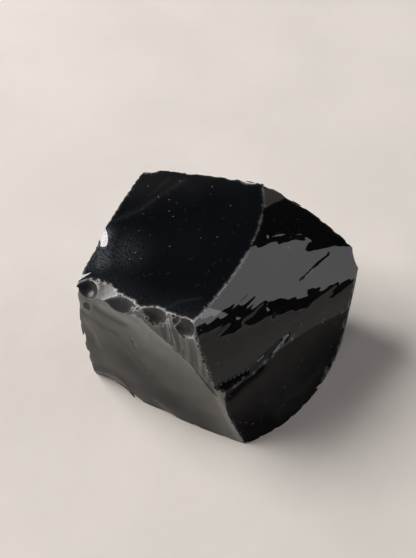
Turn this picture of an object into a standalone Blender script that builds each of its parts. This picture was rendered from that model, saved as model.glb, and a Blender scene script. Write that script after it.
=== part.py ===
"""A chunk of obsidian, volcanic glass that breaks like thick bottle glass.

The stone is struck from a rough block. Each of its faces is one conchoidal fracture: a sheet that is
nearly flat, a little domed or dished and a little twisted. Small rounded scars are bitten out of its
edges, and it lies on a flat break. Lengths are in millimetres here and become metres in the mesh.
"""

import math
from collections import namedtuple

import bmesh
import bpy
import numpy as np
from mathutils import Matrix, Vector

MM = 0.001

# Driving dimensions
BLOCK_WIDTH = 84.0
BLOCK_DEPTH = 80.0
BLOCK_HEIGHT = 44.0
CENTRE_OFFSET = (0.0, 0.8)  # moves the fractures so that the stone's box is centred over the origin
SHEET_REACH = 54.0  # half the width of a fracture sheet
SHEET_CELL = 3.0  # spacing of the points on it
LEDGE_CELL = 2.0  # the same, on the sheet that carries the ledge
SHEET_CLEARANCE = 150.0  # thickness of the waste that one fracture takes off
SKEW_LENGTH = 20.0  # distance from the centre at which a skew term is fully felt
SKEW_LIMIT = 1.3  # how many skew lengths out the terms stop growing
SCAR_DETAIL = 3  # subdivisions of the ball that bites a scar

# A fracture faces azimuth and elevation, in degrees. Its radii are the doming across and up the face
# (negative where it is dished, None where it is straight), twist turns the face like a propeller, and
# skew holds the four cubic terms that make one end of it fall away faster than the other.
Fracture = namedtuple("Fracture", "name centre azimuth elevation across up twist skew")
FLAT = (0.0, 0.0, 0.0, 0.0)

TOP = Fracture("top", (-8.0, 3.0, 31.3), -171.3, 81.7, 330.0, 400.0, 0.0, FLAT)
FRONT_LEFT = Fracture("front_left", (-10.5, -19.5, 19.9), -114.6, 14.3, 136.0, 66.0, 0.0034, FLAT)
STRIP = Fracture(
    "strip", (-10.13, -17.25, 28.5), -121.2, 18.1, -93.3, 51.0, -0.0168, (3.82, -1.38, 0.61, -0.73)
)
LEFT_SIDE = Fracture("left_side", (-26.2, 5.0, 15.0), 158.5, -8.3, 200.0, 300.0, 0.0, FLAT)
BACK = Fracture("back", (-3.0, 22.3, 16.0), 72.6, -4.0, 400.0, 250.0, 0.0, FLAT)
BACK_UNDERCUT = Fracture("back_undercut", (26.0, 6.6, 4.6), 41.5, -38.1, 150.0, 180.0, 0.0, FLAT)
TOE = Fracture("toe", (27.0, -5.2, 3.0), -22.6, -3.0, 60.0, None, 0.0, FLAT)
RIGHT_LOWER = Fracture(
    "right_lower", (16.0, -16.0, 5.2), -39.8, 38.6, 122.5, -60.0, -0.0046, (1.9, 7.3, 6.5, 15.4)
)
RIGHT_UPPER = Fracture(
    "right_upper", (12.0, -3.0, 26.5), -38.4, 39.3, 164.0, 44.5, 0.0121, (0.2, -1.2, -2.0, -0.6)
)

# Low on the upper right face the break turned out along a hinge, and left a narrow ledge over the
# dished lower face. The ledge stands out less and less to the right, and is gone near the middle.
# Below the ledge a shoulder lifts the upper face clear of the lower one, all along their edge.
HINGE_HEIGHT = -12.7  # where the hinge runs, up the face from its centre
LEDGE_END = -1.6  # where along the face the ledge is gone
LEDGE_STEEPENING = 0.045  # how much steeper it stands out for each millimetre left of its end
SHOULDER_HEIGHT = -19.5
SHOULDER_SLOPE = 0.6

# A crest divides the front left face from the strip above it. Each face turns outwards beyond the
# crest, which is given on both by points along the face and up it.
CREST_ON_FRONT_LEFT = (
    (-24.0, -18.0, -14.2, -8.6, -5.5, -2.2, 1.5, 4.0, 6.6, 8.6, 10.4, 13.0, 20.0),
    (12.0, 9.5, 7.3, 6.3, 4.4, 2.9, 1.4, 0.0, -2.4, -4.4, -6.3, -4.0, 4.0),
)
CREST_ON_STRIP = (
    (-13.5, -11.7, -7.9, -4.8, -1.4, 2.3, 4.8, 7.4, 9.5, 11.3, 20.0),
    (-2.1, -2.8, -2.9, -4.6, -6.0, -7.4, -8.7, -10.9, -12.9, -14.7, -22.0),
)
CREST_TURN = 0.5  # how steeply a face turns outwards beyond the crest
CREST_OVERLAP = 0.4  # how far past the crest it starts to
STRIP_END = -14.0  # along the strip, where it ends on the left
STRIP_FOOT = -16.0  # up the strip, where it ends at the bottom
STRIP_TURN = 1.2  # how steeply it turns outwards at both ends
CREASE_CELL = 1.5  # spacing of the points on the two sheets that meet at the crest

# A scar is bitten into the edge between two faces. It has a place there, a width and a depth of bite.
Scar = namedtuple("Scar", "name faces place width bite")
SCARS = (
    Scar("rim_scar_1", (TOP, STRIP), (-26.6, -6.4, 28.2), 6.5, 0.8),
    Scar("rim_scar_2", (TOP, STRIP), (-20.2, -10.8, 29.0), 4.6, 0.7),
    Scar("rim_scar_3", (TOP, STRIP), (-14.4, -14.0, 29.8), 5.4, 0.8),
    Scar("rim_scar_4", (TOP, STRIP), (-9.8, -16.4, 30.4), 3.4, 0.6),
    Scar("right_scar", (BACK, RIGHT_UPPER), (31.6, 9.2, 15.6), 10.0, 1.5),
    Scar("back_scar", (TOP, BACK), (-14.5, 25.6, 30.4), 8.0, 0.6),
)

GLASS_COLOUR = (0.006, 0.006, 0.008, 1.0)
GLASS_ROUGHNESS = 0.08


def facing(fracture):
    """The face's outward normal, and its own level and upward directions."""
    azimuth = math.radians(fracture.azimuth)
    elevation = math.radians(fracture.elevation)
    outward = Vector(
        (
            math.cos(elevation) * math.cos(azimuth),
            math.cos(elevation) * math.sin(azimuth),
            math.sin(elevation),
        )
    )
    level = Vector((-math.sin(azimuth), math.cos(azimuth), 0.0))
    return outward, level, outward.cross(level)


def fracture_height(fracture, level, up):
    """How far the broken surface stands out of its flat reference at one place on the face."""
    height = -fracture.twist * level * up
    for place, radius in ((level, fracture.across), (up, fracture.up)):
        if radius:
            height -= place * place / (2.0 * radius)
    a = max(-SKEW_LIMIT, min(SKEW_LIMIT, level / SKEW_LENGTH))
    b = max(-SKEW_LIMIT, min(SKEW_LIMIT, up / SKEW_LENGTH))
    terms = (a**3, a * a * b, a * b * b, b**3)
    return height + sum(amount * term for amount, term in zip(fracture.skew, terms))


def ledge_height(level, up):
    """What the ledge and the shoulder add to the upper right face at one place."""
    slope = max(0.0, LEDGE_END - level) * LEDGE_STEEPENING
    return max(0.0, HINGE_HEIGHT - up) * slope + max(0.0, SHOULDER_HEIGHT - up) * SHOULDER_SLOPE


def front_left_turn(level, up):
    """How far the front left face turns outwards above the crest."""
    crest = float(np.interp(level, *CREST_ON_FRONT_LEFT)) + CREST_OVERLAP
    return CREST_TURN * max(0.0, up - crest)


def strip_turn(level, up):
    """How far the strip turns outwards below the crest and past its two ends."""
    crest = float(np.interp(level, *CREST_ON_STRIP)) - CREST_OVERLAP
    past_ends = max(0.0, STRIP_END - level) + max(0.0, STRIP_FOOT - up)
    return CREST_TURN * max(0.0, crest - up) + STRIP_TURN * past_ends


def placement(fracture):
    """The transform from the face's own frame, in millimetres, to the stone's."""
    outward, level, up = facing(fracture)
    turn = Matrix((level, up, outward)).transposed().to_4x4()
    centre = Vector(fracture.centre) + Vector((*CENTRE_OFFSET, 0.0))
    return Matrix.Translation(centre) @ turn


def object_from(mesh_data, name, collection):
    """Makes an object of a bmesh, turning its millimetres into metres."""
    bmesh.ops.scale(mesh_data, vec=(MM, MM, MM), verts=mesh_data.verts)
    bmesh.ops.recalc_face_normals(mesh_data, faces=mesh_data.faces)
    mesh = bpy.data.meshes.new(name)
    mesh_data.to_mesh(mesh)
    mesh_data.free()
    made = bpy.data.objects.new(name, mesh)
    collection.objects.link(made)
    return made


def sheet_of_waste(fracture, cell=SHEET_CELL, relief=None):
    """The waste outside one fracture: a sheet of the broken surface, thickened outwards."""
    waste = bmesh.new()
    cells = round(2.0 * SHEET_REACH / cell)
    bmesh.ops.create_grid(waste, x_segments=cells, y_segments=cells, size=SHEET_REACH)
    for vertex in waste.verts:
        vertex.co.z = fracture_height(fracture, vertex.co.x, vertex.co.y)
        if relief:
            vertex.co.z += relief(vertex.co.x, vertex.co.y)
    sheet = bmesh.ops.extrude_face_region(waste, geom=waste.faces[:])
    top = [item for item in sheet["geom"] if isinstance(item, bmesh.types.BMVert)]
    for vertex in top:
        vertex.co.z = SHEET_CLEARANCE
    bmesh.ops.transform(waste, matrix=placement(fracture), verts=waste.verts)
    return waste


def scar_ball(scar):
    """The ball whose surface is the bed of one scar, pressed into an edge from outside."""
    slope = facing(scar.faces[0])[0] + facing(scar.faces[1])[0]
    slope.normalize()
    radius = (scar.width**2 / 4.0 + scar.bite**2) / (2.0 * scar.bite)
    edge = Vector(scar.place) + Vector((*CENTRE_OFFSET, 0.0))
    ball = bmesh.new()
    bmesh.ops.create_icosphere(ball, subdivisions=SCAR_DETAIL, radius=radius)
    bmesh.ops.translate(ball, vec=edge + slope * (radius - scar.bite), verts=ball.verts)
    return ball


def rough_block(collection):
    """The block the stone is struck from, standing on the flat break at its base."""
    block = bmesh.new()
    size = (BLOCK_WIDTH, BLOCK_DEPTH, BLOCK_HEIGHT)
    bmesh.ops.create_cube(block, size=1.0)
    bmesh.ops.scale(block, vec=size, verts=block.verts)
    bmesh.ops.translate(block, vec=(0.0, 0.0, BLOCK_HEIGHT / 2.0), verts=block.verts)
    return object_from(block, "obsidian_chunk", collection)


def strike(stone, waste, name, collection):
    """Takes one piece of waste off the stone."""
    cutter = object_from(waste, name, collection)
    cutter.hide_render = True
    cutter.display_type = "WIRE"
    cut = stone.modifiers.new(name, "BOOLEAN")
    cut.operation = "DIFFERENCE"
    cut.solver = "EXACT"
    cut.object = cutter


def glass_material():
    """Black volcanic glass."""
    material = bpy.data.materials.new("obsidian")
    material.use_nodes = True
    shader = material.node_tree.nodes["Principled BSDF"]
    shader.inputs["Base Color"].default_value = GLASS_COLOUR
    shader.inputs["Roughness"].default_value = GLASS_ROUGHNESS
    material.diffuse_color = GLASS_COLOUR
    return material


def clear_scene():
    """Removes whatever the scene holds."""
    for existing in list(bpy.data.objects):
        bpy.data.objects.remove(existing, do_unlink=True)


def new_collection(name):
    """A collection of the scene."""
    made = bpy.data.collections.new(name)
    bpy.context.scene.collection.children.link(made)
    return made


def build():
    """Models the stone."""
    clear_scene()
    parts = new_collection("Obsidian chunk")
    cutters = new_collection("Cutters")
    stone = rough_block(parts)
    stone.data.materials.append(glass_material())
    for fracture in (TOP, BACK, LEFT_SIDE, BACK_UNDERCUT, TOE, RIGHT_LOWER):
        strike(stone, sheet_of_waste(fracture), fracture.name, cutters)
    for fracture, cell, relief in (
        (FRONT_LEFT, CREASE_CELL, front_left_turn),
        (STRIP, CREASE_CELL, strip_turn),
        (RIGHT_UPPER, LEDGE_CELL, ledge_height),
    ):
        strike(stone, sheet_of_waste(fracture, cell, relief), fracture.name, cutters)
    for scar in SCARS:
        strike(stone, scar_ball(scar), scar.name, cutters)


build()
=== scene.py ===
"""The looks of a chunk of obsidian: its fine fracture faces, its chipped edges, and a plain studio."""

import math
from collections import namedtuple

import bpy
import numpy as np
from mathutils import Matrix, Vector


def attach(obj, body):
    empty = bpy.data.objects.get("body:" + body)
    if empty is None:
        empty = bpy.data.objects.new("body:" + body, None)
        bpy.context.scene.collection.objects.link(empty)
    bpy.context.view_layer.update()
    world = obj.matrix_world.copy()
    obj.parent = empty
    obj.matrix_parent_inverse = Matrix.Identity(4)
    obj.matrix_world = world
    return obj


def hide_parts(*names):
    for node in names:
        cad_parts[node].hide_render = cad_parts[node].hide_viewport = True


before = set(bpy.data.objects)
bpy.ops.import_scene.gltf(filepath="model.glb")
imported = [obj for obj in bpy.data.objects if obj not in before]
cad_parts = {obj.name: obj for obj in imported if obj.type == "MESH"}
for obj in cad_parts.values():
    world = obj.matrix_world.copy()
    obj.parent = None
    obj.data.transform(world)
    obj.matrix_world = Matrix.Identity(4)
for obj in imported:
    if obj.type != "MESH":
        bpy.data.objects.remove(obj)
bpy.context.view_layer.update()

bl_info = {
    "name": "Obsidian Chunk",
    "version": (1, 0, 0),
    "blender": (4, 5, 0),
    "location": "3D View > Sidebar > Obsidian",
    "description": "Models a chunk of volcanic glass and the studio it is shown in",
    "category": "Add Mesh",
}

MM = 0.001
NODE = "obsidian_chunk"
CENTRE_OFFSET = Vector((0.0, 0.8, 0.0))  # from the frame the fractures are laid out in to the part's

# The rough block, in millimetres
BLOCK_SIZE = (84.0, 80.0, 44.0)
WASTE_DEPTH = 150.0
SKEW_LENGTH = 20.0
SKEW_LIMIT = 1.3

# The least angle, in degrees, of an edge that flakes, of one that is crushed, and of one left sharp
FLAKING_ANGLE = 24.0
CRUSHING_ANGLE = 26.0
SHADING_ANGLE = 20.0

# The studio: the floor's side in metres, the camera's place in millimetres, and the world's two colours
FLOOR_SIDE = 2.4
CAMERA_PLACE = (-3.0, -188.7, 247.2)
SENSOR_WIDTH = 36.0
ROOM_COLOUR = (0.03, 0.032, 0.038, 1.0)
BACKDROP_COLOUR = (0.72, 0.69, 0.66, 1.0)

# A fracture faces azimuth and elevation, in degrees. Its radii are the doming across and up the face
# (None where it is straight), twist turns it like a propeller, and skew makes one end fall away faster.
# Cell is the spacing of the points on its sheet, and reach half the sheet's width.
Fracture = namedtuple("Fracture", "name centre azimuth elevation across up twist skew cell reach relief")
FLAT = (0.0, 0.0, 0.0, 0.0)

# Low on the upper right face the break turned out along a hinge, and left a narrow ledge over the
# dished lower face. Below it a shoulder lifts the upper face clear of the lower one.
HINGE_HEIGHT = -12.7
LEDGE_END = -1.6
LEDGE_STEEPENING = 0.045
SHOULDER_HEIGHT = -19.5
SHOULDER_SLOPE = 0.6

# A crest divides the front left face from the strip above it. Each face turns outwards beyond the
# crest, which is given on both by points along the face and up it.
CREST_ON_FRONT_LEFT = (
    (-24.0, -18.0, -14.2, -8.6, -5.5, -2.2, 1.5, 4.0, 6.6, 8.6, 10.4, 13.0, 20.0),
    (12.0, 9.5, 7.3, 6.3, 4.4, 2.9, 1.4, 0.0, -2.4, -4.4, -6.3, -4.0, 4.0),
)
CREST_ON_STRIP = (
    (-13.5, -11.7, -7.9, -4.8, -1.4, 2.3, 4.8, 7.4, 9.5, 11.3, 20.0),
    (-2.1, -2.8, -2.9, -4.6, -6.0, -7.4, -8.7, -10.9, -12.9, -14.7, -22.0),
)
CREST_TURN = 0.5
CREST_OVERLAP = 0.25
STRIP_END = -14.0
STRIP_FOOT = -16.0
STRIP_TURN = 1.2

# Lines on the faces, in their own two coordinates
FRONT_CREST = (
    (-16.3, 7.9),
    (-8.7, 6.5),
    (-2.2, 2.9),
    (1.5, 1.7),
    (6.5, -1.8),
    (10.4, -6.0),
    (17.0, -19.1),
)
PANEL_LINE = ((4.7, 7.6), (5.8, 6.7), (8.1, 5.4), (10.6, 3.7), (13.1, 1.8), (14.0, -0.3))
STEP_LINE = ((4.4, -5.6), (5.2, -4.7), (7.4, -4.1), (10.7, -4.6), (15.2, -4.7))

# Lines on the stone, each a few points in millimetres
FRONT_RIM = (
    (-29.2, -3.7, 27.5),
    (-24.9, -5.8, 28.2),
    (-21.9, -9.7, 28.5),
    (-17.5, -13.9, 29.0),
    (-11.2, -16.5, 29.8),
    (-6.8, -18.2, 30.3),
)
NEAR_CORNER = ((-6.8, -18.0, 30.3), (-5.5, -19.8, 25.6))
TOP_RIGHT_EDGE = ((-6.8, -18.2, 30.3), (-4.3, -15.2, 30.9), (0.0, -10.7, 31.8), (4.5, -2.3, 32.7))


def smooth_step(value, start, end):
    """0 before start and 1 after end, with an easy slope between."""
    t = np.clip((value - start) / (end - start), 0.0, 1.0)
    return t * t * (3.0 - 2.0 * t)


def bump_at(value, centre, width):
    """1 at the centre, falling away smoothly on both sides."""
    return np.exp(-(((value - centre) / width) ** 2))


def lattice(i, j, seed):
    """A repeatable number from -1 to 1 for each point of a square lattice."""
    value = np.sin(i * 127.1 + j * 311.7 + seed * 74.7) * 43758.5453
    return (value - np.floor(value)) * 2.0 - 1.0


def grain(x, y, seed):
    """Smooth noise from -1 to 1, with one bump or so to each unit of x and of y."""
    i = np.floor(x)
    j = np.floor(y)
    u = smooth_step(x - i, 0.0, 1.0)
    v = smooth_step(y - j, 0.0, 1.0)
    near = lattice(i, j, seed) * (1.0 - u) + lattice(i + 1.0, j, seed) * u
    far = lattice(i, j + 1.0, seed) * (1.0 - u) + lattice(i + 1.0, j + 1.0, seed) * u
    return near * (1.0 - v) + far * v


def turned(across, up, degrees):
    """The two coordinates of a face along and across a direction, which is measured from its level one."""
    angle = math.radians(degrees)
    along = across * math.cos(angle) + up * math.sin(angle)
    aside = up * math.cos(angle) - across * math.sin(angle)
    return along, aside


def scarp(along, aside, start, end, height, width):
    """A small step that runs along a line from start to end, and fades at both ends."""
    ends = smooth_step(along, start, start + 2.0) * (1.0 - smooth_step(along, end - 2.0, end))
    return height * ends * (smooth_step(aside, -width / 2.0, width / 2.0) - 1.0)


def near_line(points, line, width):
    """1 on a line given by its corners, falling away smoothly on both sides, for an array of points."""
    nearest = np.full(len(points), np.inf)
    for start, end in zip(line[:-1], line[1:]):
        start = np.array(start)
        run = np.array(end) - start
        share = np.clip((points - start) @ run / (run @ run), 0.0, 1.0)
        nearest = np.minimum(nearest, np.linalg.norm(points - start - share[:, None] * run, axis=1))
    return bump_at(nearest, 0.0, width)


def near_place(points, place, width):
    """The same round one place."""
    return bump_at(np.linalg.norm(points - np.array(place), axis=1), 0.0, width)


def top_relief(across, up):
    """The top is nearly flat. It rolls off at one place on its left edge."""
    past = np.clip(-up - 16.0, 0.0, None)
    roll = past * past / 17.0 * bump_at(across, -7.0, 4.2)
    return 0.02 * grain(across / 17.0, up / 13.0, 3.0) - roll


def fan(across, up):
    """Streaks that spread from the front left face's upper corner, from -1 to 1."""
    from_corner = np.hypot(across + 27.0, up - 10.0)
    angle = np.degrees(np.arctan2(up - 10.0, across + 27.0))
    streaks = 0.7 * grain(angle / 7.0, from_corner / 26.0, 21.0)
    streaks = streaks + 0.3 * grain(angle / 3.0, from_corner / 15.0, 22.0)
    return streaks * smooth_step(from_corner, 1.0, 8.0) * (1.0 - smooth_step(from_corner, 20.0, 36.0))


def front_left_relief(across, up):
    """The fan, the foot, a few nicks, and the flare that meets the top's rim."""
    flare = 1.2 * smooth_step(up, 6.4, 9.8) * (1.0 - smooth_step(across, -15.0, -11.0))
    beyond = np.clip(up - CREST_OVERLAP - np.interp(across, *CREST_ON_FRONT_LEFT), 0.0, None)
    flare = flare + CREST_TURN * beyond
    bend = np.where(across < -14.5, 0.06, 0.22)
    below = np.clip(-15.1 - bend * (across + 14.5) ** 2 - up, 0.0, None)
    foot = below * 0.3 * smooth_step(-across, 6.0, 9.0)
    low = np.clip(-16.6 - 0.5 * (across + 4.0) - up, 0.0, None) * 0.12 * smooth_step(across, -6.0, -2.0)
    swell = 0.06 * grain(across / 9.0, up / 6.0, 7.0) + 0.012 * grain(across / 2.5, up / 2.0, 8.0)
    nick = 0.3 * bump_at(up + (across + 9.8) * 1.6, -0.6, 0.35) * bump_at(across, -9.8, 0.8)
    return swell + 0.07 * fan(across, up) + flare - foot - low - nick


def strip_relief(across, up):
    """Hackles run down the strip below the near corner, and it flares out to meet the top's rim."""
    along, aside = turned(across, up, -64.0)
    aside = aside + 0.015 * along * along
    ridges = np.abs(grain(aside / 0.8, along / 12.0, 31.0)) + 0.4 * np.abs(grain(aside / 0.4, along / 8.0, 32.0))
    crest = np.interp(across, *CREST_ON_STRIP)
    where = smooth_step(across, -4.5, -1.0) * smooth_step(up - crest, 0.2, 2.0)
    turn = CREST_TURN * np.clip(crest - CREST_OVERLAP - up, 0.0, None)
    ends = STRIP_TURN * (np.clip(STRIP_END - across, 0.0, None) + np.clip(STRIP_FOOT - up, 0.0, None))
    lip = 0.9 * bump_at(across, -8.5, 2.5) * smooth_step(up, -2.0, 0.3)
    return turn + ends + lip - 0.3 * ridges * where + 0.04 * grain(across / 3.0, up / 2.0, 33.0)


def right_upper_shape(across, up):
    """The hinge, the ledge and the shoulder."""
    slope = np.clip(LEDGE_END - across, 0.0, None) * LEDGE_STEEPENING
    hinge = HINGE_HEIGHT + 1.8 * smooth_step(-across, 15.0, 26.0) + 0.25 * grain(across / 4.0, across * 0.0, 41.0)
    raised = np.clip(hinge - up, 0.0, None) * slope + np.clip(SHOULDER_HEIGHT - up, 0.0, None) * SHOULDER_SLOPE
    groove = 0.14 * bump_at(up, hinge + 0.1, 0.36) * (1.0 - smooth_step(across, -6.0, -2.5))
    return raised - groove


def right_upper_relief(across, up):
    """The shape of the face, with small steps and hackles, and streaks that run along it."""
    places = np.stack((across, up), axis=1)
    ragged = 0.3 * grain(across / 2.5, up / 1.4, 42.0)
    lower_part = (0.03 + 0.025 * smooth_step(across, -3.0, 6.0)) * np.clip(-up, 0.0, 14.0)
    panel_line = 0.06 * near_line(places, PANEL_LINE, 0.32)
    step_line = 0.1 * near_line(places, STEP_LINE, 0.3) * smooth_step(across, 8.5, 10.5)
    below = -4.5 - up + 0.4 * ragged
    ends = smooth_step(across, 4.2, 5.2) * (1.0 - smooth_step(across, 11.0, 16.0))
    step = 0.15 * ends * smooth_step(below, -0.15, 0.15) * np.exp(-np.clip(below, 0.0, None) / 1.5)
    low_along, low_aside = turned(across - 1.1, up + 11.3, -3.0)
    low = scarp(low_along, low_aside + ragged, -7.5, 13.0, 0.07, 0.4)
    lower = scarp(low_along, low_aside + 0.9 + ragged, -2.0, 11.0, 0.05, 0.4)
    left = scarp(across, up + 0.4 + ragged, -25.0, -15.0, 0.05, 0.4)
    middle = scarp(across, up + 2.4 + ragged, -14.0, -5.0, 0.06, 0.4)
    streaks = 0.008 * grain(across / 9.0, up / 1.7, 5.0) + 0.004 * grain(across / 5.0, up / 0.9, 6.0)
    near_panel = bump_at(up, 1.4 - 0.25 * (across + 8.0), 2.6) * bump_at(across, -9.0, 7.5)
    near_right = bump_at(up, -7.8 - 0.25 * (across - 9.0), 2.6) * bump_at(across, 9.0, 6.5)
    hackles = 0.02 * grain(across / 4.5, up / 0.55, 43.0) * near_panel
    hackles = hackles + 0.02 * grain(across / 2.2 + up / 2.0, up / 0.8, 44.0) * near_right
    lines = lower_part - panel_line - step_line + step + low + lower + left + middle
    return right_upper_shape(across, up) + lines + streaks + hackles


def right_lower_relief(across, up):
    """Faint ripples cross the dished face, and a thin crack runs below the ledge."""
    from_corner = np.hypot(across - 4.0, up - 14.0)
    places = np.stack((across, up), axis=1)
    crack = 0.15 * near_line(places, ((-12.8, 6.6), (-9.0, 7.0), (-5.0, 6.6)), 0.3)
    ripples = 0.03 * np.sin(from_corner / 0.55) * bump_at(from_corner, 17.0, 3.0)
    return ripples - crack + 0.16 * grain(across / 4.0, up / 14.0, 51.0)


def rough_relief(across, up):
    """A hackly, worn break with a few broad swells."""
    broad = 0.28 * grain(across / 11.0, up / 8.0, 11.0)
    return broad + 0.07 * grain(across / 4.0, up / 3.0, 12.0) + 0.03 * np.abs(grain(across / 1.6, up / 5.0, 13.0))


def ripple_relief(across, up):
    """Shallow ripples that spread from the corner where the break began."""
    from_corner = np.hypot(across + 20.0, up - 12.0)
    return 0.05 * np.sin(from_corner / 0.9 + grain(across / 7.0, up / 7.0, 14.0)) * smooth_step(
        from_corner, 6.0, 16.0
    ) + 0.1 * grain(across / 12.0, up / 9.0, 15.0)


FRACTURES = (
    Fracture("top", (-8.0, 3.0, 31.3), -171.3, 81.7, 330.0, 400.0, 0.0, FLAT, 0.35, 44.0, top_relief),
    Fracture("back", (-3.0, 22.3, 16.0), 72.6, -4.0, 400.0, 250.0, 0.0, FLAT, 0.6, 50.0, ripple_relief),
    Fracture("left_side", (-26.2, 5.0, 15.0), 158.5, -8.3, 200.0, 300.0, 0.0, FLAT, 0.6, 46.0, rough_relief),
    Fracture(
        "front_left",
        (-10.5, -19.5, 19.9),
        -114.6,
        14.3,
        136.0,
        66.0,
        0.0034,
        FLAT,
        0.4,
        46.0,
        front_left_relief,
    ),
    Fracture(
        "strip",
        (-10.13, -17.25, 28.5),
        -121.2,
        18.1,
        -93.3,
        51.0,
        -0.0168,
        (3.82, -1.38, 0.61, -0.73),
        0.25,
        36.0,
        strip_relief,
    ),
    Fracture(
        "back_undercut",
        (26.0, 6.6, 4.6),
        41.5,
        -38.1,
        150.0,
        180.0,
        0.0,
        FLAT,
        0.6,
        44.0,
        ripple_relief,
    ),
    Fracture("toe", (27.0, -5.2, 3.0), -22.6, -3.0, 60.0, None, 0.0, FLAT, 0.5, 44.0, None),
    Fracture(
        "right_lower",
        (16.0, -16.0, 5.2),
        -39.8,
        38.6,
        122.5,
        -60.0,
        -0.0046,
        (1.9, 7.3, 6.5, 15.4),
        0.4,
        44.0,
        right_lower_relief,
    ),
    Fracture(
        "right_upper",
        (12.0, -3.0, 26.5),
        -38.4,
        39.3,
        164.0,
        44.5,
        0.0121,
        (0.2, -1.2, -2.0, -0.6),
        0.3,
        44.0,
        right_upper_relief,
    ),
)

# The larger scars are the beds of flakes that were pressed off the rim. Each fits a ball, in millimetres.
Scar = namedtuple("Scar", "centre radius")
SCARS = (
    Scar((-29.5, -7.2, 27.6), 2.7),
    Scar((-31.9, -13.1, 42.2), 17.2),
    Scar((-26.6, -18.8, 33.0), 11.1),
    Scar((-15.7, -18.3, 29.8), 4.8),
    Scar((-10.5, -18.6, 29.3), 2.3),
    Scar((-9.1, -20.3, 29.1), 3.4),
    Scar((-31.5, -10.9, 23.6), 3.6),
    Scar((-17.3, 31.5, 35.2), 8.0),
    Scar((36.5, 12.5, 18.4), 7.3),
)

# Small flakes are missing along the edge between two fractures, at some spacing, with widths and bites
# between two limits
Flaking = namedtuple("Flaking", "pair spacing width bite")
FLAKINGS = (
    Flaking(("top", "right_upper"), 2.0, (0.25, 0.6), (0.04, 0.1)),
    Flaking(("top", "back"), 2.8, (0.8, 2.2), (0.05, 0.14)),
    Flaking(("top", "left_side"), 1.6, (0.5, 1.6), (0.08, 0.22)),
    Flaking(("top", "scar"), 1.2, (0.3, 0.9), (0.05, 0.2)),
    Flaking(("strip", "scar"), 1.3, (0.4, 1.3), (0.1, 0.3)),
    Flaking(("strip", "right_upper"), 0.8, (0.5, 1.3), (0.12, 0.35)),
    Flaking(("front_left", "right_upper"), 1.0, (0.5, 1.4), (0.12, 0.35)),
    Flaking(("front_left", "right_lower"), 1.8, (0.4, 1.1), (0.05, 0.15)),
    Flaking(("front_left", "left_side"), 2.4, (0.8, 3.0), (0.12, 0.4)),
    Flaking(("front_left", "base"), 5.0, (2.0, 5.0), (0.08, 0.25)),
    Flaking(("back", "right_upper"), 2.4, (0.8, 2.6), (0.08, 0.25)),
    Flaking(("back_undercut", "right_upper"), 2.0, (0.8, 2.6), (0.12, 0.4)),
    Flaking(("toe", "right_upper"), 2.0, (0.8, 2.4), (0.12, 0.35)),
    Flaking(("toe", "right_lower"), 2.0, (0.8, 2.4), (0.12, 0.35)),
    Flaking(("right_lower", "base"), 3.0, (0.8, 2.6), (0.06, 0.2)),
    Flaking(("right_upper", "right_lower"), 2.4, (0.4, 1.1), (0.04, 0.12)),
    Flaking(("back", "left_side"), 2.6, (1.0, 4.0), (0.2, 0.6)),
    Flaking(("back", "base"), 3.5, (1.5, 5.0), (0.2, 0.6)),
    Flaking(("left_side", "base"), 3.5, (1.5, 5.0), (0.2, 0.6)),
    Flaking(("back", "back_undercut"), 3.0, (1.0, 3.5), (0.15, 0.5)),
)

# The glass on each face: its two colours, which tone runs between, how rough and how strong its sheen is,
# how much of it is polished, and how coarse its bump is. The two colours are set to how bright each face
# looks in this light, so besides the glass's own colour they hold painted light and shade.
Finish = namedtuple("Finish", "name dark light roughness sheen polish bump")
FINISHES = (
    Finish("base", (0.05, 0.049, 0.047), (0.08, 0.078, 0.074), 0.5, 0.4, 0.0, 0.3),
    Finish("top", (0.0015, 0.0018, 0.003), (0.014, 0.0143, 0.0145), 0.6, 0.0, 1.0, 0.0),
    Finish("back", (0.02, 0.02, 0.02), (0.05, 0.049, 0.046), 0.35, 0.5, 0.0, 0.1),
    Finish("left_side", (0.03, 0.03, 0.029), (0.07, 0.068, 0.064), 0.42, 0.5, 0.0, 0.2),
    Finish("front_left", (0.006, 0.006, 0.006), (0.27, 0.262, 0.245), 0.42, 0.4, 0.0, 0.08),
    Finish("strip", (0.01, 0.01, 0.01), (0.34, 0.33, 0.31), 0.36, 0.5, 0.0, 0.15),
    Finish("back_undercut", (0.01, 0.01, 0.011), (0.03, 0.03, 0.029), 0.3, 0.5, 0.0, 0.05),
    Finish("toe", (0.003, 0.003, 0.003), (0.01, 0.01, 0.01), 0.5, 0.0, 0.75, 0.0),
    Finish("right_lower", (0.0005, 0.0005, 0.0005), (0.034, 0.032, 0.0305), 0.3, 0.035, 0.0, 0.03),
    Finish("right_upper", (0.003, 0.0024, 0.0022), (0.006, 0.005, 0.0048), 0.5, 0.0, 0.75, 0.0),
    Finish("scar", (0.004, 0.004, 0.004), (0.05, 0.049, 0.048), 0.3, 0.3, 0.0, 0.3),
)


def facing(fracture):
    """The face's outward normal, and its own level and upward directions."""
    azimuth = math.radians(fracture.azimuth)
    elevation = math.radians(fracture.elevation)
    flat = math.cos(elevation)
    outward = Vector((flat * math.cos(azimuth), flat * math.sin(azimuth), math.sin(elevation)))
    level = Vector((-math.sin(azimuth), math.cos(azimuth), 0.0))
    return outward, level, outward.cross(level)


def fracture_height(fracture, across, up):
    """How far the broken surface stands out of its flat reference, over arrays of places."""
    height = -fracture.twist * across * up
    for place, radius in ((across, fracture.across), (up, fracture.up)):
        if radius:
            height = height - place * place / (2.0 * radius)
    a = np.clip(across / SKEW_LENGTH, -SKEW_LIMIT, SKEW_LIMIT)
    b = np.clip(up / SKEW_LENGTH, -SKEW_LIMIT, SKEW_LIMIT)
    for amount, term in zip(fracture.skew, (a**3, a * a * b, a * b * b, b**3)):
        height = height + amount * term
    if fracture.relief:
        height = height + fracture.relief(across, up)
    return height


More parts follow.
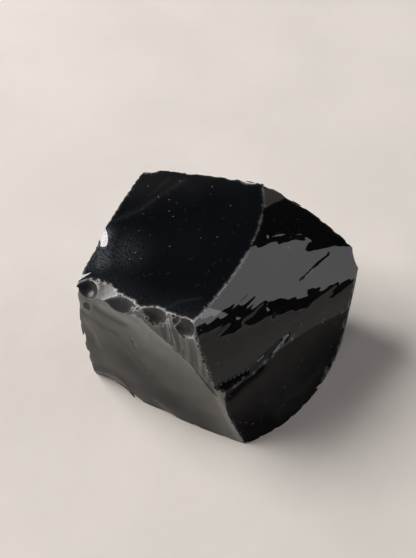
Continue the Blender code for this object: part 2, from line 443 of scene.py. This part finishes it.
def placement(fracture):
    """The transform from the face's own frame, in millimetres, to the part's, in metres."""
    outward, level, up = facing(fracture)
    turn = Matrix((level, up, outward)).transposed().to_4x4()
    return Matrix.Scale(MM, 4) @ Matrix.Translation(Vector(fracture.centre) + CENTRE_OFFSET) @ turn


def deselect_all():
    """Leaves nothing selected."""
    if bpy.context.mode != "OBJECT":
        bpy.ops.object.mode_set(mode="OBJECT")
    bpy.ops.object.select_all(action="DESELECT")


def activate(piece):
    """Selects one object and makes it the active one."""
    deselect_all()
    piece.select_set(True)
    bpy.context.view_layer.objects.active = piece


def points_of(mesh):
    """The mesh's vertices as an array."""
    points = np.empty(len(mesh.vertices) * 3, np.float32)
    mesh.vertices.foreach_get("co", points)
    return points.reshape(-1, 3).astype(float)


def set_points(mesh, points):
    """Moves the mesh's vertices to the places of an array."""
    mesh.vertices.foreach_set("co", points.astype(np.float32).ravel())
    mesh.update()


def sheet_of_waste(fracture, material):
    """The waste outside one fracture: a sheet of the broken surface, with straight sides and a flat back."""
    cells = round(2.0 * fracture.reach / fracture.cell)
    deselect_all()
    bpy.ops.mesh.primitive_grid_add(x_subdivisions=cells, y_subdivisions=cells, size=2.0 * fracture.reach)
    waste = bpy.context.active_object
    waste.name = fracture.name
    points = points_of(waste.data)
    points[:, 2] = fracture_height(fracture, points[:, 0], points[:, 1])
    set_points(waste.data, points)
    bpy.ops.object.mode_set(mode="EDIT")
    bpy.ops.mesh.select_mode(type="EDGE")
    bpy.ops.mesh.select_all(action="DESELECT")
    bpy.ops.mesh.select_non_manifold()
    bpy.ops.mesh.extrude_edges_move()
    bpy.ops.transform.resize(value=(1.0, 1.0, 0.0), center_override=(0.0, 0.0, WASTE_DEPTH))
    bpy.ops.mesh.edge_face_add()
    bpy.ops.mesh.select_all(action="SELECT")
    bpy.ops.mesh.normals_make_consistent(inside=False)
    bpy.ops.object.mode_set(mode="OBJECT")
    waste.data.transform(placement(fracture))
    waste.data.materials.append(material)
    return waste


def strike(stone, waste):
    """Takes the waste off the stone and throws it away."""
    before = len(stone.data.polygons)
    activate(stone)
    cut = stone.modifiers.new("strike", "BOOLEAN")
    cut.operation = "DIFFERENCE"
    cut.solver = "MANIFOLD"
    cut.material_mode = "TRANSFER"
    cut.object = waste
    bpy.ops.object.modifier_apply(modifier=cut.name)
    name = waste.name
    mesh = waste.data
    bpy.data.objects.remove(waste)
    bpy.data.meshes.remove(mesh)
    if len(stone.data.polygons) == before:
        raise RuntimeError(f"{name} took nothing off the stone")


def rough_block(material):
    """The block the stone is struck from."""
    deselect_all()
    bpy.ops.mesh.primitive_cube_add(size=1.0)
    stone = bpy.context.active_object
    stone.name = "obsidian"
    width, depth, height = BLOCK_SIZE
    stone.data.transform(Matrix.Translation((0.0, 0.0, 0.5)))
    stone.data.transform(Matrix.Diagonal((width * MM, depth * MM, height * MM, 1.0)))
    stone.data.materials.append(material)
    return stone


def bite_ball(name, centre, radius, detail, roughness, seed, material):
    """A ball, a little lumpy, whose surface is the bed of one scar. Its centre is in millimetres."""
    deselect_all()
    bpy.ops.mesh.primitive_ico_sphere_add(subdivisions=detail, radius=radius)
    ball = bpy.context.active_object
    ball.name = name
    points = points_of(ball.data)
    unit = points / radius
    lumps = grain(unit[:, 0] * 3.0 + unit[:, 2], unit[:, 1] * 3.0 - unit[:, 2], seed)
    points = points * (1.0 + roughness * lumps[:, None] / radius) + np.array(centre)
    set_points(ball.data, points * MM)
    ball.data.materials.append(material)
    return ball


def bite_scars(stone, material):
    """Bites the larger scars."""
    for number, scar in enumerate(SCARS):
        centre = Vector(scar.centre) + CENTRE_OFFSET
        detail = 6 if scar.radius > 9.0 else 5
        strike(stone, bite_ball(f"scar_{number}", centre, scar.radius, detail, 0.12, 60.0 + number, material))


def sharp_edges(stone, least_angle):
    """Middles, outward directions, the two materials and the ends of the stone's sharp convex edges."""
    mesh = stone.data
    normals = np.empty(len(mesh.polygons) * 3, np.float32)
    mesh.polygons.foreach_get("normal", normals)
    normals = normals.reshape(-1, 3)
    centres = np.empty(len(mesh.polygons) * 3, np.float32)
    mesh.polygons.foreach_get("center", centres)
    centres = centres.reshape(-1, 3)
    kinds = np.empty(len(mesh.polygons), np.int32)
    mesh.polygons.foreach_get("material_index", kinds)
    loop_edges = np.empty(len(mesh.loops), np.int32)
    mesh.loops.foreach_get("edge_index", loop_edges)
    sizes = np.empty(len(mesh.polygons), np.int32)
    mesh.polygons.foreach_get("loop_total", sizes)
    owners = np.repeat(np.arange(len(mesh.polygons)), sizes)
    order = np.argsort(loop_edges, kind="stable")
    faces_at = np.bincount(loop_edges, minlength=len(mesh.edges))
    plain = np.flatnonzero(faces_at == 2)
    start = np.cumsum(faces_at)[plain] - 2
    pairs = owners[order[np.stack((start, start + 1), axis=1)]]
    ends = np.empty(len(mesh.edges) * 2, np.int32)
    mesh.edges.foreach_get("vertices", ends)
    ends = ends.reshape(-1, 2)[plain]
    first = normals[pairs[:, 0]]
    second = normals[pairs[:, 1]]
    between = centres[pairs[:, 1]] - centres[pairs[:, 0]]
    cosine = np.clip(np.sum(first * second, axis=1), -1.0, 1.0)
    convex = np.sum(between * first, axis=1) < 0.0
    sharp = convex & (cosine < math.cos(math.radians(least_angle)))
    points = points_of(mesh)
    middles = (points[ends[sharp, 0]] + points[ends[sharp, 1]]) / 2.0 / MM
    outward = first[sharp] + second[sharp]
    outward = outward / np.maximum(np.linalg.norm(outward, axis=1, keepdims=True), 1e-6)
    return middles, outward, kinds[pairs[sharp]], ends[sharp]


def spaced(places, spacing, chance):
    """Indices of places, taken in a random order, that keep their distance from each other."""
    kept = []
    for index in chance.permutation(len(places)):
        place = places[index]
        if all(np.sum((place - places[other]) ** 2) > spacing * spacing for other in kept):
            kept.append(index)
    return kept


def press_flakes(stone, names, material, seed):
    """Presses small flakes off the edges, all of them at one stroke."""
    chance = np.random.default_rng(seed)
    middles, outward, kinds, _ = sharp_edges(stone, FLAKING_ANGLE)
    balls = []
    for flaking in FLAKINGS:
        wanted = sorted(names.index(name) for name in flaking.pair)
        here = np.flatnonzero(np.all(np.sort(kinds, axis=1) == wanted, axis=1))
        for index in spaced(middles[here], flaking.spacing, chance):
            width = chance.uniform(*flaking.width)
            bite = chance.uniform(*flaking.bite)
            radius = (width * width / 4.0 + bite * bite) / (2.0 * bite)
            lean = outward[here[index]] + chance.uniform(-0.5, 0.5, 3)
            lean = lean / np.linalg.norm(lean)
            centre = middles[here[index]] + lean * (radius - bite)
            detail = 4 if radius > 2.0 else 3
            ball = bite_ball("flake", centre, radius, detail, 0.1 * bite, chance.uniform(0.0, 99.0), material)
            balls.append(ball)
    deselect_all()
    for ball in balls:
        ball.select_set(True)
    bpy.context.view_layer.objects.active = balls[0]
    bpy.ops.object.join()
    strike(stone, bpy.context.active_object)


def crush_strength(points):
    """How crushed, and so how white, an edge is at each point."""
    strength = 0.12 + 0.1 * grain(points[:, 0] / 1.3, points[:, 1] / 1.3 + points[:, 2], 71.0)
    strength = np.maximum(strength, near_line(points, FRONT_RIM, 2.8))
    strength = np.maximum(strength, 0.9 * near_line(points, NEAR_CORNER, 1.7))
    strength = np.maximum(strength, 0.45 * near_line(points, TOP_RIGHT_EDGE, 1.5))
    return strength * smooth_step(points[:, 2], 0.6, 2.5)


def dust_and_highlight_amount(points):
    """How much pale dust and scuffing lies at each point. Part of it is painted highlight: the strong patch on
    the top's left edge, where the key light's highlight falls, and the broad pale halo round it.
    """
    amount = 0.95 * near_place(points, (-26.4, 7.6, 28.3), 1.7)
    amount = np.maximum(amount, 0.3 * near_line(points, ((-26.4, 7.6, 28.3), (-26.5, 0.0, 28.1)), 2.6))
    amount = np.maximum(amount, 0.06 * near_line(points, FRONT_RIM, 4.0))
    amount = np.maximum(amount, 0.12 * near_place(points, (-22.0, 2.0, 28.8), 5.0))
    return amount


def top_tone_and_highlights(places):
    """Soft arcs and lines of painted highlight, and a pale band at the back that is a painted reflection, over a
    faint random tone.
    """
    arc = ((-11.2, -14.6), (-12.5, -8.7), (-15.8, -3.6), (-19.0, 2.6))
    tone = 0.10 + 0.05 * grain(places[:, 0] / 9.0, places[:, 1] / 7.0, 81.0)
    tone = tone + 0.5 * near_line(places, arc, 0.5) + 0.15 * near_line(places, arc, 1.6)
    tone = tone + 0.4 * near_line(places, ((-16.5, -5.9), (-20.7, -0.7)), 0.4)
    tone = tone + 0.6 * near_line(places, ((16.8, -6.8), (15.6, -3.4), (15.9, 0.9)), 0.35)
    band = smooth_step(-places[:, 0], 9.0, 21.0)
    return tone + band * (0.4 + 0.25 * grain(places[:, 0] / 5.0, places[:, 1] / 4.0, 82.0))


def front_left_tone_and_shading(places):
    """Painted highlight below the crest, painted shade across the middle, towards the bottom and at the foot, a
    few smaller painted light and dark lines, and the fan's streaks as painted shading, over a little random tone.
    """
    across, up = places[:, 0], places[:, 1]
    middle = ((-19.0, -6.0), (-12.9, -6.8), (-7.7, -10.0), (-2.6, -13.8), (2.4, -16.2), (6.0, -17.5))
    foot_edge = ((-20.6, -16.4), (-16.0, -14.2), (-13.0, -14.6), (-9.8, -18.6))
    tone = 0.4 + 0.45 * near_line(places, FRONT_CREST, 0.7) + 0.3 * near_line(places, FRONT_CREST, 5.0)
    tone = tone - 0.16 * near_line(places, middle, 4.5) - 0.16 * smooth_step(-up, 0.0, 15.0)
    tone = tone - 0.22 * near_line(places, foot_edge, 1.4)
    tone = tone + 0.16 * near_line(places, ((-19.0, -18.4), (-15.0, -17.0), (-12.0, -18.8)), 1.3)
    tone = tone + 0.2 * near_line(places, ((-4.0, -16.5), (-1.5, -17.9), (1.8, -19.7)), 0.5)
    tone = tone - 0.25 * near_line(places, ((-19.8, 4.0), (-15.9, 3.2), (-12.0, 3.1)), 0.7)
    tone = tone + 0.2 * near_line(places, ((-18.6, 5.4), (-14.0, 4.9), (-9.0, 4.4)), 0.7)
    tone = tone - 0.16 * near_line(places, ((-23.2, 1.1), (-18.3, -0.1), (-13.6, -0.5)), 0.6)
    tone = tone + 0.16 * near_line(places, ((-22.4, -1.0), (-19.6, -3.9), (-18.6, -7.0)), 0.6)
    return tone + 0.16 * fan(across, up) + 0.08 * grain(across / 5.0, up / 3.0, 83.0)


def strip_shading(places):
    """Painted light and shade in streaks that run with the hackles."""
    along, aside = turned(places[:, 0], places[:, 1], -64.0)
    aside = aside + 0.015 * along * along
    streaks = grain(aside / 0.55, along / 9.0, 84.0) * smooth_step(places[:, 0], -4.0, -1.0)
    return 0.26 + 0.22 * streaks


def right_lower_tone_and_shading(places):
    """Black along the ledge, a painted shade; a little paler below it, a painted reflection of the lit floor; and
    dark again further down, where it paints the reflection of the stone's shadow. Random blotches lie over it.
    """
    edge = ((-16.0, 8.8), (-12.9, 9.0), (-9.5, 9.0), (-6.0, 8.8))
    pale = 0.2 + 0.6 * smooth_step(places[:, 1], -2.0, 7.0)
    blotches = 0.08 * grain(places[:, 0] / 5.0, places[:, 1] / 3.0, 85.0)
    return pale + blotches - 0.9 * near_line(places, edge, 1.1)


# Faces whose tone is painted light and shade, each with the function that paints it
TONES_AND_SHADING = {
    "top": top_tone_and_highlights,
    "front_left": front_left_tone_and_shading,
    "strip": strip_shading,
    "right_lower": right_lower_tone_and_shading,
}


def spread(mesh, amounts, rounds):
    """Lets an amount held at the vertices spread a little to their neighbours."""
    ends = np.empty(len(mesh.edges) * 2, np.int32)
    mesh.edges.foreach_get("vertices", ends)
    ends = ends.reshape(-1, 2)
    count = np.bincount(ends.ravel(), minlength=len(amounts)).astype(float)
    for _ in range(rounds):
        total = np.bincount(ends[:, 0], amounts[ends[:, 1]], len(amounts))
        total += np.bincount(ends[:, 1], amounts[ends[:, 0]], len(amounts))
        amounts = np.maximum(amounts * 0.85, 0.5 * amounts + 0.5 * total / np.maximum(count, 1.0))
    return amounts


def kinds_of(mesh):
    """The material of one of the faces at each vertex."""
    kinds = np.empty(len(mesh.polygons), np.int32)
    mesh.polygons.foreach_get("material_index", kinds)
    sizes = np.empty(len(mesh.polygons), np.int32)
    mesh.polygons.foreach_get("loop_total", sizes)
    corners = np.empty(len(mesh.loops), np.int32)
    mesh.loops.foreach_get("vertex_index", corners)
    found = np.zeros(len(mesh.vertices), np.int32)
    found[corners] = np.repeat(kinds, sizes)
    return found


def note_wear_and_shading(stone, names):
    """Keeps, at each vertex, how crushed its edge is, its dust with a painted highlight, and its face's tone,
    which on some faces is painted light and shade.
    """
    mesh = stone.data
    points = points_of(mesh) / MM - np.array(CENTRE_OFFSET)
    crushed = np.zeros(len(points))
    _, _, _, ends = sharp_edges(stone, CRUSHING_ANGLE)
    crushed[ends.ravel()] = 1.0
    crushed = crushed * crush_strength(points)
    kinds = kinds_of(mesh)
    # A random tone, which the faces in the table of tones replace with painted light and shade
    tone = 0.5 + 0.35 * grain(points[:, 0] / 8.0 + points[:, 2] / 5.0, points[:, 1] / 8.0, 86.0)
    for fracture in FRACTURES:
        if fracture.name in TONES_AND_SHADING:
            here = kinds == names.index(fracture.name)
            _, level, up = facing(fracture)
            away = points[here] - np.array(fracture.centre)
            tone[here] = TONES_AND_SHADING[fracture.name](np.stack((away @ np.array(level), away @ np.array(up)), axis=1))
    # The tone carries painted light and shade, and the dust a painted highlight
    wear_and_shading = {"crushed": spread(mesh, crushed, 2), "dust": dust_and_highlight_amount(points), "tone": tone}
    for name, amounts in wear_and_shading.items():
        attribute = mesh.attributes.new(name, "FLOAT", "POINT")
        attribute.data.foreach_set("value", np.clip(amounts, 0.0, 1.0).astype(np.float32))


class Nodes:
    """Adds nodes to a material, row by row, and joins them."""

    def __init__(self, material):
        self.tree = material.node_tree

    def add(self, kind, inputs=None, **settings):
        """A node with its settings, and with inputs that are values or another node's sockets."""
        node = self.tree.nodes.new(kind)
        for name, value in settings.items():
            setattr(node, name, value)
        for name, value in (inputs or {}).items():
            if isinstance(value, bpy.types.NodeSocket):
                self.tree.links.new(value, node.inputs[name])
            else:
                node.inputs[name].default_value = value
        return node

    def ramp(self, source, low, high):
        """A value moved so that low becomes 0 and high becomes 1."""
        inputs = {"Value": source, "From Min": low, "From Max": high}
        return self.add("ShaderNodeMapRange", inputs, interpolation_type="SMOOTHSTEP").outputs["Result"]

    def times(self, first, second):
        """The product of two values."""
        return self.add("ShaderNodeMath", {0: first, 1: second}, operation="MULTIPLY").outputs["Value"]

    def noise(self, place, scale, detail=2.0):
        """Noise of some scale at a place."""
        inputs = {"Vector": place, "Scale": scale, "Detail": detail}
        return self.add("ShaderNodeTexNoise", inputs).outputs["Fac"]

    def mix(self, amount, first, second):
        """A colour between two others."""
        node = self.add("ShaderNodeMix", {"Factor": amount}, data_type="RGBA")
        for socket, value in ((node.inputs[6], first), (node.inputs[7], second)):
            if isinstance(value, bpy.types.NodeSocket):
                self.tree.links.new(value, socket)
            else:
                socket.default_value = (*value, 1.0)
        return node.outputs[2]

    def marks(self, place, size, turn, radius, share):
        """Small marks, one to a cell of the given size in metres, in a share of the cells."""
        inputs = {"Vector": place, "Rotation": turn, "Scale": size}
        cells = self.add("ShaderNodeMapping", inputs, vector_type="TEXTURE")
        texture = self.add("ShaderNodeTexVoronoi", {"Vector": cells.outputs["Vector"], "Scale": 1.0})
        colour = self.add("ShaderNodeSeparateColor", {"Color": texture.outputs["Color"]})
        chosen = self.ramp(colour.outputs["Red"], 1.0 - share, 1.0 - share + 0.05)
        dot = self.ramp(texture.outputs["Distance"], radius, radius * 0.4)
        return self.times(dot, chosen)


# The pale colour of dust, specks and scratches, which also paints a highlight on the top's left edge
DUST_AND_HIGHLIGHT = (0.36, 0.38, 0.43)
CRUSHED = (0.8, 0.79, 0.78)


def glass_material(finish):
    """One face's glass: haze in streaks and its tone, which on some faces is painted light and shade, dust that
    is partly a painted highlight, specks and fine scratches, and crushed edges.
    """
    material = bpy.data.materials.new(f"obsidian {finish.name}".replace("_", " "))
    material.use_nodes = True
    shader = material.node_tree.nodes["Principled BSDF"]
    nodes = Nodes(material)
    place = nodes.add("ShaderNodeTexCoord").outputs["Object"]
    crushed = nodes.add("ShaderNodeAttribute", attribute_name="crushed").outputs["Fac"]
    # The dust, which holds a painted highlight on the top's left edge
    dust = nodes.add("ShaderNodeAttribute", attribute_name="dust").outputs["Fac"]
    # The tone, which on some faces is painted light and shade
    tone = nodes.add("ShaderNodeAttribute", attribute_name="tone").outputs["Fac"]
    inputs = {"Value": nodes.noise(place, 300.0, 5.0), "To Min": 0.75, "To Max": 1.25}
    clouds = nodes.add("ShaderNodeMapRange", inputs)
    fine = nodes.noise(place, 4200.0, 2.0)
    colour = nodes.mix(nodes.times(tone, clouds.outputs["Result"]), finish.dark, finish.light)
    specks = nodes.marks(place, (0.0016, 0.0016, 0.0016), (0.3, 0.2, 0.5), 0.13, 0.3)
    scratches = nodes.marks(place, (0.003, 0.00022, 0.003), (0.0, 0.0, 0.6), 0.3, 0.05)
    more = nodes.marks(place, (0.0002, 0.0026, 0.0026), (0.0, 0.0, 0.25), 0.3, 0.05)
    colour = nodes.mix(nodes.times(scratches, 0.1), colour, DUST_AND_HIGHLIGHT)
    colour = nodes.mix(nodes.times(more, 0.1), colour, DUST_AND_HIGHLIGHT)
    colour = nodes.mix(nodes.times(specks, 0.35), colour, DUST_AND_HIGHLIGHT)
    # Dust, with the painted highlight and its halo on the top's left edge, speckled by fine noise
    powder_and_highlight = nodes.times(dust, nodes.ramp(fine, 0.35, 0.75))
    colour = nodes.mix(powder_and_highlight, colour, DUST_AND_HIGHLIGHT)
    crumbs = nodes.times(crushed, nodes.ramp(nodes.noise(place, 900.0, 3.0), 0.28, 0.5))
    colour = nodes.mix(crumbs, colour, CRUSHED)
    nodes.tree.links.new(colour, shader.inputs["Base Color"])
    rough = nodes.add("ShaderNodeMapRange", {"Value": crumbs, "To Min": finish.roughness, "To Max": 0.7})
    nodes.tree.links.new(rough.outputs["Result"], shader.inputs["Roughness"])
    shader.inputs["Specular IOR Level"].default_value = finish.sheen
    shader.inputs["Coat Weight"].default_value = finish.polish
    shader.inputs["Coat Roughness"].default_value = 0.02
    shader.inputs["Coat IOR"].default_value = 1.5
    if finish.bump:
        height = nodes.noise(place, 700.0, 4.0)
        inputs = {"Height": height, "Strength": finish.bump, "Distance": 0.0003}
        bump = nodes.add("ShaderNodeBump", inputs)
        nodes.tree.links.new(bump.outputs["Normal"], shader.inputs["Normal"])
    return material


def floor_material(colour):
    """Pale plaster with faint blotches."""
    material = bpy.data.materials.new("floor")
    material.use_nodes = True
    shader = material.node_tree.nodes["Principled BSDF"]
    nodes = Nodes(material)
    place = nodes.add("ShaderNodeTexCoord").outputs["Object"]
    blotches = nodes.ramp(nodes.noise(place, 28.0, 6.0), 0.35, 0.65)
    paler = tuple(min(1.0, part * 1.035) for part in colour)
    darker = tuple(part * 0.975 for part in colour)
    nodes.tree.links.new(nodes.mix(blotches, darker, paler), shader.inputs["Base Color"])
    bump = nodes.add(
        "ShaderNodeBump", {"Height": nodes.noise(place, 260.0, 5.0), "Strength": 0.25, "Distance": 0.0004}
    )
    nodes.tree.links.new(bump.outputs["Normal"], shader.inputs["Normal"])
    shader.inputs["Roughness"].default_value = 0.9
    shader.inputs["Specular IOR Level"].default_value = 0.2
    return material


class ObsidianSettings(bpy.types.PropertyGroup):
    """Sizes and colours a user would change."""

    camera_elevation: bpy.props.FloatProperty(
        name="Camera elevation",
        description="How steeply the camera looks down",
        default=math.radians(50.0),
        subtype="ANGLE",
    )
    lens: bpy.props.FloatProperty(name="Lens", description="Focal length in millimetres", default=85.0)
    flake_seed: bpy.props.IntProperty(
        name="Flakes", description="Seed of the small flakes missing along the edges", default=4
    )
    floor_colour: bpy.props.FloatVectorProperty(
        name="Floor", description="Colour of the floor", default=(0.735, 0.69, 0.645), subtype="COLOR"
    )
    key_power: bpy.props.FloatProperty(
        name="Key", description="Power of the window light", default=24.5, subtype="POWER"
    )
    fill_power: bpy.props.FloatProperty(
        name="Fill", description="Power of the fill light", default=1.4, subtype="POWER"
    )
    panel_power: bpy.props.FloatProperty(
        name="Panel", description="Power of the low panel on the right", default=2.75, subtype="POWER"
    )


class OBSIDIAN_OT_stone(bpy.types.Operator):
    """Strikes the stone from a block, one fracture at a time, and chips its edges"""

    bl_idname = "obsidian.stone"
    bl_label = "Stone"

    def execute(self, context):
        names = [finish.name for finish in FINISHES]
        materials = {finish.name: glass_material(finish) for finish in FINISHES}
        stone = rough_block(materials["base"])
        for name in names[1:]:
            stone.data.materials.append(materials[name])
        for fracture in FRACTURES:
            strike(stone, sheet_of_waste(fracture, materials[fracture.name]))
        bite_scars(stone, materials["scar"])
        press_flakes(stone, names, materials["scar"], context.scene.obsidian.flake_seed)
        note_wear_and_shading(stone, names)
        activate(stone)
        bpy.ops.object.shade_smooth_by_angle(angle=math.radians(SHADING_ANGLE))
        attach(stone, "root")
        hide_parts(NODE)
        return {"FINISHED"}


def toward(azimuth, elevation):
    """A direction. Azimuth 0 is behind the stone and 90 to its right, in degrees."""
    flat = math.cos(math.radians(elevation))
    return Vector(
        (
            flat * math.sin(math.radians(azimuth)),
            flat * math.cos(math.radians(azimuth)),
            math.sin(math.radians(elevation)),
        )
    )


def area_light(name, azimuth, elevation, distance, size, power, colour):
    """A rectangular light that faces the stone."""
    direction = toward(azimuth, elevation)
    data = bpy.data.lights.new(name, "AREA")
    data.shape = "RECTANGLE"
    data.size, data.size_y = size
    data.energy = power
    data.color = colour
    lamp = bpy.data.objects.new(name, data)
    bpy.context.scene.collection.objects.link(lamp)
    lamp.location = direction * distance
    lamp.rotation_mode = "QUATERNION"
    lamp.rotation_quaternion = direction.to_track_quat("Z", "Y")
    lamp.visible_camera = False
    return lamp


def studio_world():
    """A dark room for the glass to mirror, in front of a pale backdrop."""
    world = bpy.data.worlds.new("studio")
    world.use_nodes = True
    tree = world.node_tree
    background = tree.nodes["Background"]
    rays = tree.nodes.new("ShaderNodeLightPath")
    mix = tree.nodes.new("ShaderNodeMix")
    mix.data_type = "RGBA"
    mix.inputs[6].default_value = ROOM_COLOUR
    mix.inputs[7].default_value = BACKDROP_COLOUR
    tree.links.new(rays.outputs["Is Camera Ray"], mix.inputs["Factor"])
    tree.links.new(mix.outputs[2], background.inputs["Color"])
    return world


class OBSIDIAN_OT_stage(bpy.types.Operator):
    """Sets the floor, the lights and the camera"""

    bl_idname = "obsidian.stage"
    bl_label = "Stage"

    def execute(self, context):
        settings = context.scene.obsidian
        deselect_all()
        bpy.ops.mesh.primitive_plane_add(size=FLOOR_SIDE)
        floor = context.active_object
        floor.name = "floor"
        floor.data.materials.append(floor_material(settings.floor_colour))
        area_light("key", -65.0, 37.0, 1.3, (1.05, 0.55), settings.key_power, (1.0, 0.98, 0.96))
        area_light("fill", -155.0, 66.0, 1.4, (1.0, 1.0), settings.fill_power, (1.0, 0.89, 0.78))
        area_light("panel", 84.0, 16.3, 0.9, (1.31, 0.31), settings.panel_power, (1.0, 0.97, 1.0))
        area_light("sliver", 41.0, 24.5, 0.9, (0.19, 0.13), 0.05, (1.0, 0.93, 0.85))
        area_light("corner", 114.0, 6.2, 0.9, (0.16, 0.07), 0.09, (1.0, 0.97, 1.0))
        area_light("ledge", 103.0, 52.0, 1.0, (0.4, 0.8), 0.42, (0.88, 0.93, 1.0))
        context.scene.world = studio_world()
        camera_data = bpy.data.cameras.new("camera")
        camera_data.lens = settings.lens
        camera_data.sensor_width = SENSOR_WIDTH
        camera_data.clip_start = 0.01
        camera = bpy.data.objects.new("camera", camera_data)
        context.scene.collection.objects.link(camera)
        camera.location = (Vector(CAMERA_PLACE) + CENTRE_OFFSET) * MM
        camera.rotation_euler = (math.radians(90.0) - settings.camera_elevation, 0.0, 0.0)
        context.scene.camera = camera
        context.scene.view_settings.view_transform = "Standard"
        return {"FINISHED"}


class OBSIDIAN_PT_panel(bpy.types.Panel):
    """Lists the pieces"""

    bl_label = "Obsidian Chunk"
    bl_space_type = "VIEW_3D"
    bl_region_type = "UI"
    bl_category = "Obsidian"

    def draw(self, context):
        for operator in OPERATORS:
            self.layout.operator(operator.bl_idname)


OPERATORS = (OBSIDIAN_OT_stone, OBSIDIAN_OT_stage)
CLASSES = (ObsidianSettings, *OPERATORS, OBSIDIAN_PT_panel)


def register():
    """Adds the add-on's classes and its settings."""
    for cls in CLASSES:
        bpy.utils.register_class(cls)
    bpy.types.Scene.obsidian = bpy.props.PointerProperty(type=ObsidianSettings)


def unregister():
    """Takes them away again."""
    del bpy.types.Scene.obsidian
    for cls in reversed(CLASSES):
        bpy.utils.unregister_class(cls)


def main():
    """Builds everything."""
    register()
    bpy.ops.obsidian.stone()
    bpy.ops.obsidian.stage()


if __name__ == "__main__":
    main()
